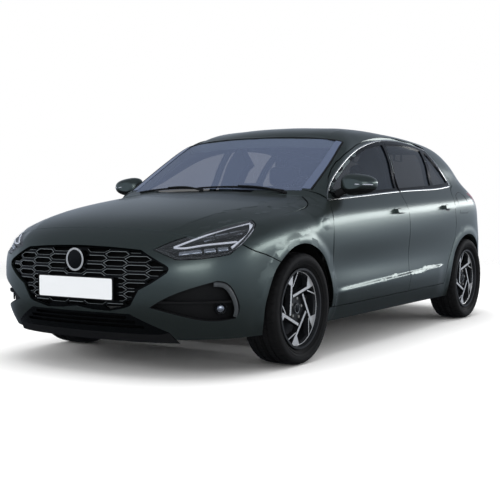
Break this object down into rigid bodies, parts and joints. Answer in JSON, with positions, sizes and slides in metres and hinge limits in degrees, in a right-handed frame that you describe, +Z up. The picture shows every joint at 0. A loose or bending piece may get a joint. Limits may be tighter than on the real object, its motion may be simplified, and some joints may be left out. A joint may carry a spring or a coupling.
{
  "type": "five-door hatchback car",
  "caption": "Compact hatchback car with hinged doors, bonnet and tailgate, steered front wheels and a hollow cabin with seats.",
  "frame": {"origin": "on the ground, midway along the body and across it", "axes": "+X to the car's left, -Y towards the nose, +Z up; the wheels stand on z = 0"},
  "size_m": [2.0534, 4.3342, 1.4556],
  "materials": {
    "body_paint": "dark grey-green metallic under clear coat",
    "dark_glass": "tinted",
    "black_plastic": "grained",
    "clear_lens": "clear",
    "lamp_inside": "bright with dark surrounds",
    "red_lens": "clear red",
    "tyre_rubber": "plain",
    "wheel_alloy": "machined faces on dark paint",
    "cast_steel": "black coated",
    "under_paint": "matt under-coat",
    "steel_pipe": "dull",
    "cast_alloy": "as cast",
    "soft_trim": "soft grain",
    "seat_cloth": "woven",
    "grained_rim": "grained"
  },
  "bodies": {
    "body": {"roof_panel": "body_paint", "front_bumper": "body_paint", "rear_bumper": "body_paint", "front_wings": "body_paint", "body_side_left": "body_paint", "body_side_right": "body_paint", "windscreen": "dark_glass", "grille": "black_plastic", "lower_grille": "black_plastic", "fog_pockets": "black_plastic", "scuttle": "black_plastic", "arch_liners": "black_plastic", "headlamp_lenses": "clear_lens", "headlamps": "lamp_inside", "tail_lamps": "red_lens", "front_subframe": "cast_steel", "rear_axle": "cast_steel", "floor_pan": "under_paint", "inner_structure": "under_paint", "fuel_tank": "under_paint", "exhaust": "steel_pipe", "engine": "cast_alloy", "dashboard": "soft_trim", "front_seats": "seat_cloth", "rear_bench": "seat_cloth"},
    "bonnet": {"bonnet": "body_paint"},
    "tailgate": {"tailgate": "body_paint", "tailgate_glass": "dark_glass", "tailgate_lamps": "red_lens"},
    "door_front_left": {"door_front_left": "body_paint", "handle_front_left": "body_paint", "mirror_left": "body_paint", "door_glass_front_left": "dark_glass"},
    "door_front_right": {"door_front_right": "body_paint", "handle_front_right": "body_paint", "mirror_right": "body_paint", "door_glass_front_right": "dark_glass"},
    "door_rear_left": {"door_rear_left": "body_paint", "handle_rear_left": "body_paint", "door_glass_rear_left": "dark_glass"},
    "door_rear_right": {"door_rear_right": "body_paint", "handle_rear_right": "body_paint", "door_glass_rear_right": "dark_glass"},
    "road_wheel_front_left": {"tyre_front_left": "tyre_rubber", "wheel_front_left": "wheel_alloy"},
    "road_wheel_front_right": {"tyre_front_right": "tyre_rubber", "wheel_front_right": "wheel_alloy"},
    "road_wheel_rear_left": {"tyre_rear_left": "tyre_rubber", "wheel_rear_left": "wheel_alloy"},
    "road_wheel_rear_right": {"tyre_rear_right": "tyre_rubber", "wheel_rear_right": "wheel_alloy"},
    "knuckle_left": {"knuckle_left": "cast_steel"},
    "knuckle_right": {"knuckle_right": "cast_steel"},
    "steering_wheel": {"steering_wheel": "grained_rim"}
  },
  "joints": [
    {"name": "steer_left", "type": "hinge", "parent": "body", "child": "knuckle_left", "pos_m": [0.735, -1.265, 0.205], "axis": [-0.2873, 0, 0.9578], "range_deg": [-35, 35]},
    {"name": "steer_right", "type": "hinge", "parent": "body", "child": "knuckle_right", "pos_m": [-0.735, -1.265, 0.205], "axis": [0.2873, 0, 0.9578], "range_deg": [-35, 35]},
    {"name": "spin_front_left", "type": "hinge", "parent": "knuckle_left", "child": "road_wheel_front_left", "pos_m": [0.783, -1.265, 0.317], "axis": [1, 0, 0], "continuous": true},
    {"name": "spin_front_right", "type": "hinge", "parent": "knuckle_right", "child": "road_wheel_front_right", "pos_m": [-0.783, -1.265, 0.317], "axis": [1, 0, 0], "continuous": true},
    {"name": "spin_rear_left", "type": "hinge", "parent": "body", "child": "road_wheel_rear_left", "pos_m": [0.787, 1.385, 0.317], "axis": [1, 0, 0], "continuous": true},
    {"name": "spin_rear_right", "type": "hinge", "parent": "body", "child": "road_wheel_rear_right", "pos_m": [-0.787, 1.385, 0.317], "axis": [1, 0, 0], "continuous": true},
    {"name": "door_front_left_swing", "type": "hinge", "parent": "body", "child": "door_front_left", "pos_m": [0.87035, -0.81895, 0.6], "axis": [0, 0, -1], "range_deg": [0, 66]},
    {"name": "door_front_right_swing", "type": "hinge", "parent": "body", "child": "door_front_right", "pos_m": [-0.87035, -0.81895, 0.6], "axis": [0, 0, 1], "range_deg": [0, 66]},
    {"name": "door_rear_left_swing", "type": "hinge", "parent": "body", "child": "door_rear_left", "pos_m": [0.86947, 0.31922, 0.6], "axis": [0, 0, -1], "range_deg": [0, 68]},
    {"name": "door_rear_right_swing", "type": "hinge", "parent": "body", "child": "door_rear_right", "pos_m": [-0.86947, 0.31922, 0.6], "axis": [0, 0, 1], "range_deg": [0, 68]},
    {"name": "bonnet_lift", "type": "hinge", "parent": "body", "child": "bonnet", "pos_m": [0, -0.90699, 0.93993], "axis": [-1, 0, 0], "range_deg": [0, 50]},
    {"name": "tailgate_lift", "type": "hinge", "parent": "body", "child": "tailgate", "pos_m": [0, 1.66132, 1.34369], "axis": [1, 0, 0], "range_deg": [0, 80]},
    {"name": "steering_turn", "type": "hinge", "parent": "body", "child": "steering_wheel", "pos_m": [0.359, -0.24475, 0.90938], "axis": [0, 0.9292, 0.3697], "range_deg": [-470, 470]}
  ],
  "couplings": [
    {"joint": "steer_right", "follows": "steer_left", "ratio": 1},
    {"joint": "steering_turn", "follows": "steer_left", "ratio": 13.2}
  ]
}
